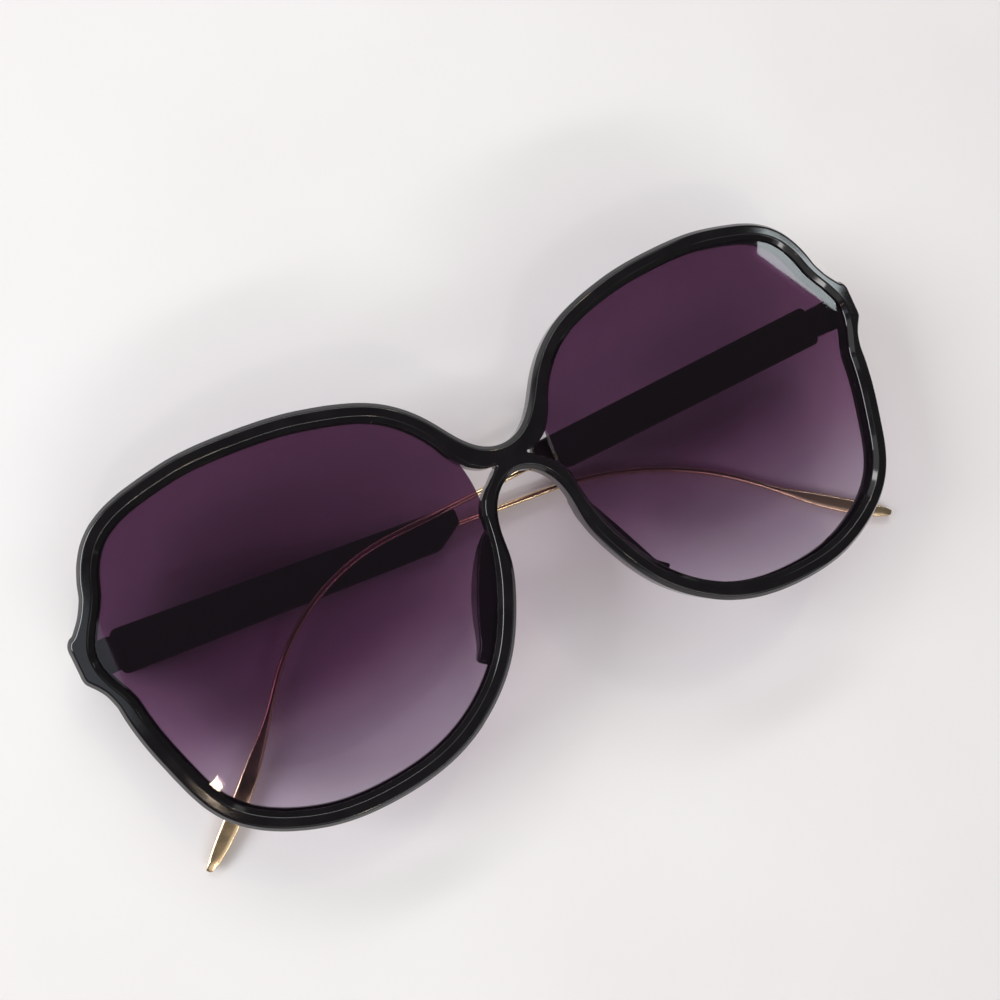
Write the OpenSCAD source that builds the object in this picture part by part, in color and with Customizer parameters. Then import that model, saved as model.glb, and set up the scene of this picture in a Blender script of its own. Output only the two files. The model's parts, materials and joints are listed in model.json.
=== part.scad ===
// Oversized sunglasses, folded and lying on the outer face of the left temple.
// Left and right are those of someone who looks at the front of the lenses.
// The front is drawn in its own frame: X to the right, Y towards the brow and Z
// out of the lenses. It is then laid down on the left temple.

/* [Front] */
// Depth of the front moulding
front_t = 4; // [3.4:0.1:5]
// Radius of the front's wrap around the face
wrap_r = 380; // [250:5:600]
// Width of the rim around each lens
rim_w = 3.1; // [2.6:0.1:4]

/* [Rims] */
// Width of one rim
rim_span = 64; // [52:1:66]
// Height of one rim
rim_height = 62; // [50:1:70]
// Drop of a rim's centre below the middle of the bridge
rim_centre_drop = 8; // [4:0.5:12]

/* [Lenses] */
// Thickness of a lens
lens_t = 1.8; // [1.4:0.1:2.2]
// Set back of a lens from the front face
lens_set_back = 1; // [0.7:0.1:1.3]
// Depth of the groove that holds a lens
groove_d = 0.7; // [0.4:0.1:1]
// Clearance of a lens in its groove
lens_gap = 0.05; // [0.02:0.01:0.1]

/* [Bridge] */
// Width of the bridge between the two rims
bridge_w = 12; // [9:0.5:16]
// Height of the upper bar's dip above the middle of the bridge
bridge_dip = 2.4; // [1.5:0.1:3.5]
// Rise of the upper bar from there to the rims
bridge_dip_rise = 7.5; // [5:0.1:9]
// Drop of the lower arch's crown below the middle of the bridge
arch_crown = 1.9; // [1.2:0.1:3]
// Height of the lower arch
arch_h = 9.1; // [7:0.1:11]

/* [Endpieces] */
// Reach of an endpiece beyond its rim
endpiece_reach = 3; // [2:0.5:6]
// Height of an endpiece's outer end
endpiece_h = 7.9; // [6:0.1:10]
// Drop of an endpiece's middle below the middle of the bridge
endpiece_drop = 0.3; // [0:0.1:2]
// Height of the hinge block behind an endpiece
block_h = 5.6; // [5:0.1:6]

/* [Hinges] */
// Distance from an endpiece's outer end in to its hinge's axis
hinge_inset = 3; // [2.8:0.1:4]
// Distance from the front's back face out to a hinge's axis
hinge_stand = 4.5; // [4:0.1:6]
// Drop of the temples' line below the middle of the bridge
hinge_drop = 1; // [0:0.1:2]
// Radius of a hinge barrel
barrel_r = 1; // [0.9:0.05:1.2]
// Height of the middle barrel
mid_barrel_h = 1.4; // [1:0.1:2]
// Height of each outer barrel
end_barrel_h = 1.4; // [1:0.1:1.6]
// Gap between barrels
barrel_gap = 0.08; // [0.05:0.01:0.15]
// Radius of the hinge screw's shank
screw_r = 0.5; // [0.4:0.05:0.6]
// Radial clearance of the shank in the barrels
screw_gap = 0.05; // [0.02:0.01:0.08]
// Radius of the screw's head
screw_head_r = 0.85; // [0.7:0.05:0.95]
// Height of the screw's head
screw_head_h = 0.5; // [0.3:0.1:0.7]
// Thickness of a hinge leaf
leaf_t = 0.6; // [0.4:0.1:0.8]

/* [Temples] */
// Length of the black band from the hinge axis
band_l = 62; // [50:1:68]
// Height of the band at the hinge
band_h = 7.6; // [6:0.1:9]
// Height of the band at its end
band_end_h = 6.8; // [5:0.1:8]
// Thickness of the band
band_t = 2.2; // [1.8:0.1:2.4]
// Distance from the hinge axis out to the middle of the band
band_offset = 1.9; // [1.7:0.1:2]
// Gap from the hinge axis to the band's end
band_start = 1.6; // [1.3:0.1:2]
// Length of the slanted cut at the band's end
band_cut_l = 5; // [3:0.5:8]
// Diameter of the wire
wire_d = 1.1; // [0.9:0.1:1.4]
// Length of wire held inside the band
wire_grip = 12; // [8:1:20]
// Length of a temple along its middle line
temple_l = 154; // [140:1:160]
// Width of the paddle at the temple's tip
paddle_w = 3; // [2.4:0.1:5]
// Thickness of the paddle
paddle_t = 1; // [0.8:0.1:1.1]

/* [As worn in] */
// Start of the left temple's bend
left_bend_start = 79; // [70:1:95]
// Radius of the left temple's bend
left_bend_r = 72; // [25:1:80]
// Angle of the left temple's bend
left_bend_angle = 35; // [20:0.5:55]
// Recurve of the left tip
left_recurve_angle = 8.5; // [2:0.5:15]
// Droop of the left temple from square to the front
left_droop_angle = 4.9; // [0:0.1:6]
// Start of the right temple's bend
right_bend_start = 91; // [70:1:95]
// Radius of the right temple's bend
right_bend_r = 36; // [25:1:60]
// Angle of the right temple's bend
right_bend_angle = 51.5; // [20:0.5:55]
// Recurve of the right tip
right_recurve_angle = 15; // [2:0.5:20]
// Droop of the right temple from square to the front
right_droop_angle = 1.4; // [0:0.1:6]
// Clearance of the folded left temple over the right one
fold_clearance = 0.43; // [0.3:0.01:2]

/* [Nose pads] */
// Length of a nose pad along the rim
pad_l = 21; // [14:1:26]
// Height that a nose pad stands behind the rim
pad_h = 5.4; // [3:0.1:5.6]
// Width of a nose pad across the rim
pad_w = 4; // [3:0.1:5]
// Drop of a nose pad's middle below the middle of the bridge
pad_drop = 18.5; // [15:0.5:22]

/* [Hidden] */

// One overrun for every cut
over = 0.5;
// Clearance around whatever is set into the plastic
set_gap = 0.05;
// Faces of a round
round_fn = 48;
// Faces of the great wrap cylinder
wrap_fn = 720;
black = [0.03, 0.03, 0.035];
gold = [0.83, 0.69, 0.42];
steel = [0.72, 0.72, 0.74];
tint = [0.35, 0.25, 0.36, 0.6];

// Rim outline: distance from the rim's centre every 22.5 degrees from the
// temple side, as shares of the half width and half height
rim_shares = [1.006, 1.061, 1.137, 1.037, 0.971, 0.992, 1.073, 1.083,
    1.025, 0.995, 1.016, 1.030, 1.035, 1.069, 1.086, 1.011];
// Points of the outline between two of those shares
rim_steps = 4;
rim_n = len(rim_shares);
rim_count = rim_n * rim_steps;

function wrapped(i, n) = (i % n + n) % n;

// A smooth curve through the shares, all the way round
function share_at(k, f) =
    let (a = rim_shares[wrapped(k - 1, rim_n)], b = rim_shares[wrapped(k, rim_n)],
        c = rim_shares[wrapped(k + 1, rim_n)], d = rim_shares[wrapped(k + 2, rim_n)])
    b + f * (c - a) / 2 + f * f * (a - 2.5 * b + 2 * c - d / 2)
        + f * f * f * (1.5 * (b - c) + (d - a) / 2);

function rim_point(i) =
    let (j = wrapped(i, rim_count), k = floor(j / rim_steps), f = j / rim_steps - k,
        turn = 360 * j / rim_count, s = share_at(k, f))
    [rim_centre_x + s * rim_span / 2 * cos(turn),
     -rim_centre_drop + s * rim_height / 2 * sin(turn)];

// The outline moved in towards the lens by a constant width
function rim_inset(i, inset) =
    let (along = rim_point(i + 1) - rim_point(i - 1))
    rim_point(i) - inset / norm(along) * [along[1], -along[0]];

function rim_outline(inset) = [for (i = [0:rim_count - 1]) rim_inset(i, inset)];

function arc_2d(centre, rx, ry, from, to, n) =
    [for (i = [0:n]) let (a = from + (to - from) * i / n)
        centre + [rx * cos(a), ry * sin(a)]];

function bezier_2d(p, q, r, n) =
    [for (i = [0:n]) let (f = i / n)
        p * (1 - f) * (1 - f) + q * 2 * f * (1 - f) + r * f * f];

// Sizes that follow from those above
half_front = bridge_w / 2 + rim_span + endpiece_reach;
rim_centre_x = (bridge_w + rim_span) / 2;
hinge_x = half_front - hinge_inset;
// Depth of the curve at the endpieces
wrap_depth = half_front * half_front / (2 * wrap_r);
// Depth of the hinge axis behind the middle of the front
hinge_back = hinge_x * hinge_x / (2 * wrap_r) + front_t + hinge_stand;
// The upper bar dips, and the lower arch spans, a little past the bridge's width
bridge_dip_reach = bridge_w / 2 + 0.84 * rim_w;
arch_half_w = bridge_w / 2 + 0.2 * rim_w;
// Distance from the middle of the front to the tip of a side gap
gap_tip_x = 0.235 * bridge_w;
lens_edge_inset = rim_w - groove_d;
screw_hole_r = screw_r + screw_gap;
stack_h = mid_barrel_h + 2 * (end_barrel_h + barrel_gap);
barrel_clear = 0.3;
band_outer = band_offset + band_t / 2;
wire_r = wire_d / 2;
wire_start = band_l - wire_grip;

// Width of the paddle from the bend to the tip, as shares of its full width
paddle_shares = [0.36, 0.37, 0.39, 0.44, 0.52, 0.62, 0.73, 0.82, 0.89, 0.94, 0.97, 0.99, 1,
    0.99, 0.96, 0.91, 0.82, 0.66, 0.36];
paddle_n = len(paddle_shares);
paddle_tip_share = 0.5;
// Stations on the wire's straight part and bend, and sides of its section
straight_steps = 6;
bend_steps = 14;
wire_sides = 16;

function tail_start(start, r, bend) = [start + r * sin(bend), -r * (1 - cos(bend))];
function tail_length(start, r, bend) = temple_l - start - r * bend * PI / 180;

function tail_point(start, r, bend, recurve, f) =
    let (turn_r = tail_length(start, r, bend) / (recurve * PI / 180),
        heading = recurve * f - bend)
    tail_start(start, r, bend)
        + turn_r * [sin(heading) + sin(bend), cos(bend) - cos(heading)];

// Stations along the wire: [S, V, heading, width, thickness, squareness]
function wire_path(start, r, bend, recurve) = concat(
    [for (i = [0:straight_steps])
        [wire_start + (start - wire_start) * i / straight_steps, 0, 0, wire_d, wire_d, 0]],
    [for (i = [1:bend_steps]) let (a = bend * i / bend_steps)
        [start + r * sin(a), r * (cos(a) - 1), -a, wire_d, wire_d, 0]],
    [for (i = [1:paddle_n - 1])
        let (f = i / (paddle_n - 1), p = tail_point(start, r, bend, recurve, f),
            flat = min(1, f * 2.5))
        [p[0], p[1], recurve * f - bend, paddle_shares[i] * paddle_w,
         wire_d + (paddle_t * (i == paddle_n - 1 ? paddle_tip_share : 1) - wire_d) * flat, flat]]);

function squared(value, squareness) = sign(value) * pow(abs(value), 1 - 0.45 * squareness);

// One ring of the wire, from round to a flat paddle with rounded edges
function wire_ring(station) =
    [for (k = [0:wire_sides - 1]) let (a = 360 * (k + 0.5) / wire_sides,
        across = station[3] / 2 * squared(cos(a), station[5]),
        up = station[4] / 2 * squared(sin(a), station[5]))
        [station[0] - across * sin(station[2]), station[1] + across * cos(station[2]), up]];

function wire_points(path) = [for (station = path) each wire_ring(station)];

function wire_faces(n) = concat(
    [[for (k = [0:wire_sides - 1]) k]],
    [[for (k = [0:wire_sides - 1]) (n - 1) * wire_sides + wire_sides - 1 - k]],
    [for (i = [0:n - 2]) for (k = [0:wire_sides - 1]) let (j = (k + 1) % wire_sides, a = i * wire_sides)
        each [[a + k, a + wire_sides + k, a + j], [a + j, a + wire_sides + k, a + wire_sides + j]]]);

left_wire_path = wire_path(left_bend_start, left_bend_r, left_bend_angle, left_recurve_angle);
right_wire_path = wire_path(right_bend_start, right_bend_r, right_bend_angle, right_recurve_angle);

// Middle of the right wire seen square on: [along, across] the left band
right_wire_crossing = [for (s = right_wire_path)
    let (x = 2 * hinge_x - s[0] * cos(right_droop_angle) - s[1] * sin(right_droop_angle),
        y = s[1] * cos(right_droop_angle) - s[0] * sin(right_droop_angle))
    [x * cos(left_droop_angle) - y * sin(left_droop_angle),
     y * cos(left_droop_angle) + x * sin(left_droop_angle)]];
// The left temple is folded until its band clears the right wire and the right band
left_fold_angle = asin(max(concat([(band_t + fold_clearance) / (2 * hinge_x - band_l)],
    [for (p = right_wire_crossing)
        if (p[0] > band_start && p[0] < band_l && abs(p[1]) < band_h / 2 + wire_d)
            (band_t / 2 + wire_r + fold_clearance) / p[0]])));

// The folded glasses lie on the left temple, so the front is turned by its fold
lie = left_fold_angle;
// Height of the front's middle above the surface below
lift = hinge_x * sin(lie) + hinge_back * cos(lie) + band_outer;

// Footprint of the folded glasses, from which the origin is set in the middle
left_wire_points = [for (p = wire_points(left_wire_path))
    [p[0] * cos(left_droop_angle) + p[1] * sin(left_droop_angle),
     p[1] * cos(left_droop_angle) - p[0] * sin(left_droop_angle) - hinge_drop]];
// Reach of the hinge axis from the middle of the front once it is laid down
hinge_reach = hinge_x * cos(lie) - hinge_back * sin(lie);
foot_x_high = max([for (p = left_wire_points) p[0]]) - hinge_reach;
foot_x_low = wrap_depth * sin(lie) - half_front * cos(lie);
foot_y_high = max([for (p = rim_outline(0)) p[1]]);
foot_y_low = min([for (p = left_wire_points) p[1]]);
foot_x = (foot_x_high + foot_x_low) / 2;
foot_y = (foot_y_high + foot_y_low) / 2;

// Lays the front down so that the left temple's outer face is on the surface
module lay() {
    translate([-foot_x, -foot_y, lift]) rotate([0, -lie, 0]) children();
}

module left_of(is_left) {
    mirror([is_left ? 1 : 0, 0, 0]) children();
}

// From the front's middle to a hinge axis, on the side with X above zero
module at_hinge() {
    translate([hinge_x, -hinge_drop, -hinge_back]) children();
}

// From a hinge axis along a folded temple: X along it, Y to the brow, Z to the lens
module along_temple(fold, droop) {
    at_hinge() rotate([0, -fold, 0]) rotate([0, 0, droop]) mirror([1, 0, 0]) children();
}

// A bar or drum along Y
module drum(r, h) {
    rotate([90, 0, 0]) cylinder(r = r, h = h, center = true, $fn = round_fn);
}

// Everything that lies deeper than this behind the curved front face
module behind(depth, tall = 4 * rim_height) {
    translate([0, 0, -wrap_r]) rotate([90, 0, 0])
        cylinder(r = wrap_r - depth, h = tall, center = true, $fn = wrap_fn);
}

// Everything between two depths behind the curved front face
module wrap_shell(from, to) {
    difference() {
        behind(from);
        behind(to, 5 * rim_height);
    }
}

// Flat outlines as a thick slab that the wrap shell then cuts
module slab() {
    translate([0, 0, -2 * front_t - wrap_depth])
        linear_extrude(4 * front_t + wrap_depth) children();
}

function bridge_top(x) = bridge_dip + bridge_dip_rise * pow(x / bridge_dip_reach, 2);

// The web between the rims, from the dipped upper bar down to the arch
module bridge_web() {
    steps = 16;
    top = [for (i = [0:steps]) let (x = bridge_dip_reach * (1 - 2 * i / steps))
        [x, bridge_top(x)]];
    polygon(concat(top, [[-bridge_dip_reach, -arch_crown - arch_h],
        [bridge_dip_reach, -arch_crown - arch_h]]));
}

// The open space under the lower arch
module arch_cut() {
    foot = -arch_crown - arch_h;
    polygon(concat(arc_2d([0, foot], arch_half_w, arch_h, 0, 180, 24),
        [[-arch_half_w, foot - arch_h / 2], [arch_half_w, foot - arch_h / 2]]));
}

// The small gap beside the bridge where the bare edge of a lens shows
module side_gap_cut() {
    reach = rim_centre_x - rim_span / 2 + rim_w - gap_tip_x;
    upper = bezier_2d([gap_tip_x, 0], [gap_tip_x + reach * 0.5, 0],
        [gap_tip_x + reach, 1.6 * bridge_dip], 6);
    lower = bezier_2d([gap_tip_x + reach, -2 * arch_crown], [gap_tip_x + reach * 0.6,
        -2 * arch_crown], [gap_tip_x, 0], 6);
    polygon(concat(upper, lower));
}

// The endpiece's outline, with hollow curves back to the rim
function endpiece_outline() =
    let (top = endpiece_h / 2 - endpiece_drop, low = top - endpiece_h,
        chamfer = 0.1 * endpiece_h,
        upper_rim = rim_inset(5, 0.2 * rim_w), lower_rim = rim_inset(-1, 0.2 * rim_w),
        inside = half_front - 1.1 * endpiece_h)
    concat([[inside, lower_rim[1]]],
        bezier_2d(lower_rim, [lower_rim[0], low - chamfer],
            [half_front - chamfer, low], 5),
        [[half_front, low + chamfer], [half_front, top - chamfer]],
        bezier_2d([half_front - chamfer, top], [upper_rim[0] + chamfer, top + 2 * chamfer],
            upper_rim, 5),
        [[inside, upper_rim[1]]]);

// Block behind an endpiece, which carries the hinge in a round hollow of its back
block_in_x = half_front - endpiece_reach - 0.87 * rim_w;
block_out_x = half_front - 0.05 * endpiece_h;
block_back = hinge_back - barrel_clear;

module hinge_block() {
    translate([block_in_x, -hinge_drop - block_h / 2, -block_back])
        cube([block_out_x - block_in_x, block_h, block_back - wrap_depth - front_t / 2]);
}

// Leaf plates reach this far from the hinge axis
leaf_reach = 2 * barrel_r + 2.2 * leaf_t + barrel_r;

module front_leaf_plate(gap) {
    at_hinge() translate([-leaf_t / 2 - gap, -stack_h / 2 - gap, 0])
        cube([leaf_t + 2 * gap, stack_h + 2 * gap, leaf_reach + gap]);
}

// The whole front seen square on, with its openings
module front_outline() {
    difference() {
        union() {
            for (is_left = [true, false]) left_of(is_left) {
                polygon(rim_outline(0));
                polygon(endpiece_outline());
            }
            bridge_web();
        }
        arch_cut();
        for (is_left = [true, false]) left_of(is_left) {
            polygon(rim_outline(rim_w));
            side_gap_cut();
        }
    }
}

// The groove runs round inside the rim and is filled by the lens's edge
module lens_groove() {
    intersection() {
        slab() polygon(rim_outline(lens_edge_inset - lens_gap));
        wrap_shell(lens_set_back - lens_gap, lens_set_back + lens_t + lens_gap);
    }
}

module front_frame() {
    color(black) lay() difference() {
        union() {
            intersection() {
                slab() front_outline();
                wrap_shell(0, front_t);
            }
            for (is_left = [true, false]) left_of(is_left) hinge_block();
        }
        for (is_left = [true, false]) left_of(is_left) {
            lens_groove();
            front_leaf_plate(set_gap);
            at_hinge() drum(barrel_r + barrel_clear / 2, block_h + over);
        }
    }
}

module lens(is_left) {
    color(tint) lay() left_of(is_left) intersection() {
        slab() polygon(rim_outline(lens_edge_inset));
        wrap_shell(lens_set_back, lens_set_back + lens_t);
    }
}

// A crescent along the nasal rim, rounded off behind by a wide drum
module nose_pad(is_left) {
    first = floor(rim_count * 0.42);
    last = ceil(rim_count * 0.62);
    edge = 0.25 * rim_w;
    bulge_r = (pad_l * pad_l / 4 + pad_h * pad_h) / (2 * pad_h);
    color(black) lay() left_of(is_left) intersection() {
        slab() polygon(concat([for (i = [first:last]) rim_inset(i, edge)],
            [for (i = [first:last]) rim_inset(last + first - i, pad_w + edge)]));
        behind(front_t);
        translate([0, -pad_drop, bulge_r - pad_h - front_t]) rotate([0, 90, 0])
            cylinder(r = bulge_r, h = half_front, $fn = 4 * round_fn);
    }
}

// Front leaf: two barrels with a plate set forwards into the hinge block
module front_hinge_leaf(is_left) {
    color(steel) lay() left_of(is_left) difference() {
        union() {
            front_leaf_plate(0);
            at_hinge() drum(barrel_r, stack_h);
        }
        at_hinge() {
            drum(barrel_r + barrel_clear, mid_barrel_h + 2 * barrel_gap);
            drum(screw_hole_r, stack_h + over);
        }
    }
}

// Side view of the temple leaf: an arm from the barrel to the plate in the band
function leaf_arm(gap) =
    let (near = barrel_r * 0.4, far = leaf_reach + barrel_r, low = band_offset + leaf_t / 2 + gap,
        high = band_offset - leaf_t / 2 - gap)
    [[near, -barrel_r * 0.8], [band_start, -low], [far + gap, -low], [far + gap, -high],
     [band_start + leaf_t, -high], [barrel_r * 0.8, -near]];

module temple_leaf_arm(gap) {
    rotate([90, 0, 0]) linear_extrude(mid_barrel_h + 2 * gap, center = true)
        polygon(leaf_arm(gap));
}

module temple_leaf_plate(gap) {
    from = band_start + 2 * leaf_t - gap;
    translate([from, -stack_h / 2 - gap, -band_offset - leaf_t / 2 - gap])
        cube([leaf_reach + 2 * barrel_r + gap - from, stack_h + 2 * gap, leaf_t + 2 * gap]);
}

module temple_hinge_leaf(is_left, fold, droop) {
    color(steel) lay() left_of(is_left) difference() {
        union() {
            along_temple(fold, droop) temple_leaf_plate(0);
            along_temple(fold, 0) temple_leaf_arm(0);
            at_hinge() drum(barrel_r, mid_barrel_h);
        }
        at_hinge() drum(screw_hole_r, stack_h);
    }
}

module hinge_screw(is_left) {
    slot_w = screw_head_r / 4;
    color(steel) lay() left_of(is_left) at_hinge() difference() {
        union() {
            drum(screw_r, stack_h);
            translate([0, stack_h / 2 + screw_head_h / 2, 0]) drum(screw_head_r, screw_head_h);
        }
        translate([-screw_head_r - over, stack_h / 2 + screw_head_h / 2, -slot_w / 2])
            cube([2 * (screw_head_r + over), screw_head_h, slot_w]);
    }
}

// Side view of the band, with round corners at the hinge and a slanted end
function band_outline() =
    let (r = 0.16 * band_h, top = band_h / 2, end_top = band_end_h / 2, tip_r = 0.2 * band_end_h)
    concat(
        arc_2d([band_start + r, -top + r], r, r, 270, 180, 6),
        arc_2d([band_start + r, top - r], r, r, 180, 90, 6),
        arc_2d([band_l - tip_r, end_top - tip_r], tip_r, tip_r, 90, 0, 6),
        [[band_l, 0], [band_l - band_cut_l, -end_top]]);

module temple_band(is_left, fold, droop) {
    color(black) lay() left_of(is_left) difference() {
        along_temple(fold, droop) translate([0, 0, -band_outer]) linear_extrude(band_t)
            polygon(band_outline());
        along_temple(fold, droop) {
            temple_leaf_plate(set_gap);
            translate([wire_start - set_gap, 0, -band_offset]) rotate([0, 90, 0])
                cylinder(r = wire_r + set_gap / 2, h = wire_grip + over, $fn = round_fn);
        }
        along_temple(fold, 0) temple_leaf_arm(set_gap);
        at_hinge() drum(barrel_r + barrel_clear, block_h + over);
    }
}

module temple_wire(is_left, fold, droop, path) {
    color(gold) lay() left_of(is_left) along_temple(fold, droop)
        translate([0, 0, -band_offset]) polyhedron(wire_points(path), wire_faces(len(path)));
}

front_frame();
lens(true);  // left_lens
lens(false);  // right_lens
nose_pad(true);  // left_nose_pad
nose_pad(false);  // right_nose_pad
front_hinge_leaf(true);  // left_front_hinge_leaf
front_hinge_leaf(false);  // right_front_hinge_leaf
temple_hinge_leaf(true, left_fold_angle, left_droop_angle);  // left_temple_hinge_leaf
temple_hinge_leaf(false, 0, right_droop_angle);  // right_temple_hinge_leaf
hinge_screw(true);  // left_hinge_screw
hinge_screw(false);  // right_hinge_screw
temple_band(true, left_fold_angle, left_droop_angle);  // left_temple_band
temple_band(false, 0, right_droop_angle);  // right_temple_band
temple_wire(true, left_fold_angle, left_droop_angle, left_wire_path);  // left_temple_wire
temple_wire(false, 0, right_droop_angle, right_wire_path);  // right_temple_wire
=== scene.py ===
# Oversized sunglasses, folded and lying on the left temple

import json
import math

import bmesh
import bpy
from mathutils import Matrix, Vector

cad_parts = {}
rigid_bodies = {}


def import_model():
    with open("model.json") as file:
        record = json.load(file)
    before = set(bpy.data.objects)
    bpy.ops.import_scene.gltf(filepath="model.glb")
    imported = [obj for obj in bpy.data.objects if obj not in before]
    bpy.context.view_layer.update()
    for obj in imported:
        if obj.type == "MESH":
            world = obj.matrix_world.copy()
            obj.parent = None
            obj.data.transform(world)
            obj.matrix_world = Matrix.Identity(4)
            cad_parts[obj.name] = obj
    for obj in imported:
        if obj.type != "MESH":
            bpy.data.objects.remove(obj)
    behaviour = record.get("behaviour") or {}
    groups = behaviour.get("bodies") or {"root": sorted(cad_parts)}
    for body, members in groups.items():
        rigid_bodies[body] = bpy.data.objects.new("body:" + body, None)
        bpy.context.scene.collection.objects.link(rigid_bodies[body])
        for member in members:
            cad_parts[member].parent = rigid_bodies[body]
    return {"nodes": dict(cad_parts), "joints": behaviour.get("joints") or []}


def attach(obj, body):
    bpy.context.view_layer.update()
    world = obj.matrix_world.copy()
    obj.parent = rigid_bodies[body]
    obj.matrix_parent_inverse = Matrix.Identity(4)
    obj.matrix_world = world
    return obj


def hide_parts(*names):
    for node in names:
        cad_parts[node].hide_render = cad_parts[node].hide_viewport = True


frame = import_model()
bpy.context.view_layer.update()
bpy.ops.object.select_all(action="DESELECT")
print("frame loaded")

# the front's place and sizes in metres, as in the part's source
front = {
    "hingeX": 0.070,
    "hingeDrop": 0.001,
    "hingeBack": 0.0149474,
    "wrap": 0.380,
    "depth": 0.004,
    "halfWidth": 0.073,
    "rimCentre": Vector((0.038, -0.008, 0)),
}

signs = {"left": -1, "right": 1}  # the way that each side lies along X

hinges = {joint["child"]: Vector(joint["pos_m"]) for joint in frame["joints"]}
hingeSpan = hinges["right_temple"] - hinges["left_temple"]
lie = math.atan2(hingeSpan.z, hingeSpan.x)  # the front is turned by the left temple's fold
lieTurn = Matrix.Rotation(-lie, 4, "Y")
hingeMiddle = (hinges["right_temple"] + hinges["left_temple"]) / 2
crown = hingeMiddle + lieTurn @ Vector((0, front["hingeDrop"], front["hingeBack"]))
layFront = Matrix.Translation(crown) @ lieTurn


# Helpers for modelling

closeness = {
    "weld": 0.000002,  # points this close are one
    "level": 0.0001,  # points this near a depth are at it
    "straight": 0.3,  # degrees that a border may turn and still be straight
    "forwards": 0.9,  # least Z in the normal of a face that looks forwards
}


def pick(piece):
    if bpy.context.mode != "OBJECT":
        bpy.ops.object.mode_set(mode="OBJECT")
    bpy.ops.object.select_all(action="DESELECT")
    piece.select_set(True)
    bpy.context.view_layer.objects.active = piece


def applyPlace(piece):
    pick(piece)
    bpy.ops.object.transform_apply(location=True, rotation=True, scale=True)


def carryOver(nodeName, pieceName, place, flatness=0.3):
    # a merged copy of a CAD node, with its faces made whole, in the frame of place
    node = frame["nodes"][nodeName]
    piece = node.copy()
    piece.data = node.data.copy()
    piece.name = pieceName
    piece.data.name = pieceName
    for key in list(piece.keys()):
        del piece[key]
    piece.parent = None
    bpy.context.collection.objects.link(piece)
    piece.data.materials.clear()
    piece.matrix_world = place.inverted()
    applyPlace(piece)
    bpy.ops.mesh.customdata_custom_splitnormals_clear()
    bpy.ops.object.mode_set(mode="EDIT")
    bpy.ops.mesh.select_all(action="SELECT")
    bpy.ops.mesh.remove_doubles(threshold=closeness["weld"])
    if flatness:
        bpy.ops.mesh.dissolve_limited(angle_limit=math.radians(flatness))
    bpy.ops.mesh.normals_make_consistent(inside=False)
    bpy.ops.mesh.select_all(action="DESELECT")
    bpy.ops.object.mode_set(mode="OBJECT")
    return piece


def edgePick(piece, wanted, sharperThan):
    # selects the edges that are sharp enough and pass the test
    mesh = bmesh.from_edit_mesh(piece.data)
    mesh.normal_update()
    bpy.ops.mesh.select_all(action="DESELECT")
    found = 0
    for edge in mesh.edges:
        if len(edge.link_faces) != 2:
            continue
        if edge.calc_face_angle(0) < math.radians(sharperThan):
            continue
        if wanted(edge):
            edge.select_set(True)
            found += 1
    bmesh.update_edit_mesh(piece.data)
    return found


def roundOff(piece, wanted, width, segments, sharperThan):
    bpy.ops.mesh.select_mode(type="EDGE")
    found = edgePick(piece, wanted, sharperThan)
    if found:
        bpy.ops.mesh.bevel(offset=width, segments=segments, affect="EDGES",
                           clamp_overlap=False, loop_slide=False)
    bpy.ops.mesh.select_all(action="DESELECT")
    return found


def refinePiece(piece):
    pick(piece)
    refine = piece.modifiers.new("refine", "SUBSURF")
    refine.levels = refine.render_levels = 2
    bpy.ops.object.modifier_apply(modifier="refine")


def smoothPiece(piece, angle=40, weighted=True):
    pick(piece)
    bpy.ops.object.shade_smooth_by_angle(angle=math.radians(angle))
    if weighted:
        bpy.ops.object.modifier_add(type="WEIGHTED_NORMAL")
        piece.modifiers[-1].keep_sharp = True
        bpy.ops.object.modifier_apply(modifier=piece.modifiers[-1].name)


def putInPlace(piece, place):
    # a mirrored place turns the faces inwards, so they are turned outwards again
    piece.matrix_world = place
    applyPlace(piece)
    if place.determinant() < 0:
        bpy.ops.object.mode_set(mode="EDIT")
        bpy.ops.mesh.select_all(action="SELECT")
        bpy.ops.mesh.normals_make_consistent(inside=False)
        bpy.ops.mesh.select_all(action="DESELECT")
        bpy.ops.object.mode_set(mode="OBJECT")


def finishPiece(piece, body, node, material):
    piece.data.materials.clear()
    piece.data.materials.append(material)
    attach(piece, body)
    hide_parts(node)
    print("made", piece.name, len(piece.data.polygons), "faces")


# Materials

noiseSpan = (0.3, 0.7)  # a noise's values mostly lie between these


def newMaterial(name):
    material = bpy.data.materials.new(name)
    material.use_nodes = True
    tree = material.node_tree
    tree.nodes.clear()
    return material, tree


def addNode(tree, kind, x, y, **settings):
    node = tree.nodes.new(kind)
    node.location = (x, y)
    for key, value in settings.items():
        setattr(node, key, value)
    return node


def objectCoords(tree, x, y):
    return addNode(tree, "ShaderNodeTexCoord", x, y).outputs["Object"]


def noiseAt(tree, coords, x, y, scale, detail, roughness=0.5):
    noise = addNode(tree, "ShaderNodeTexNoise", x, y)
    noise.inputs["Scale"].default_value = scale
    noise.inputs["Detail"].default_value = detail
    noise.inputs["Roughness"].default_value = roughness
    tree.links.new(coords, noise.inputs["Vector"])
    return noise.outputs["Fac"]


def rangeOf(tree, value, x, y, fromLow, fromHigh, toLow, toHigh):
    spread = addNode(tree, "ShaderNodeMapRange", x, y)
    spread.inputs["From Min"].default_value = fromLow
    spread.inputs["From Max"].default_value = fromHigh
    spread.inputs["To Min"].default_value = toLow
    spread.inputs["To Max"].default_value = toHigh
    tree.links.new(value, spread.inputs["Value"])
    return spread.outputs["Result"]


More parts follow.
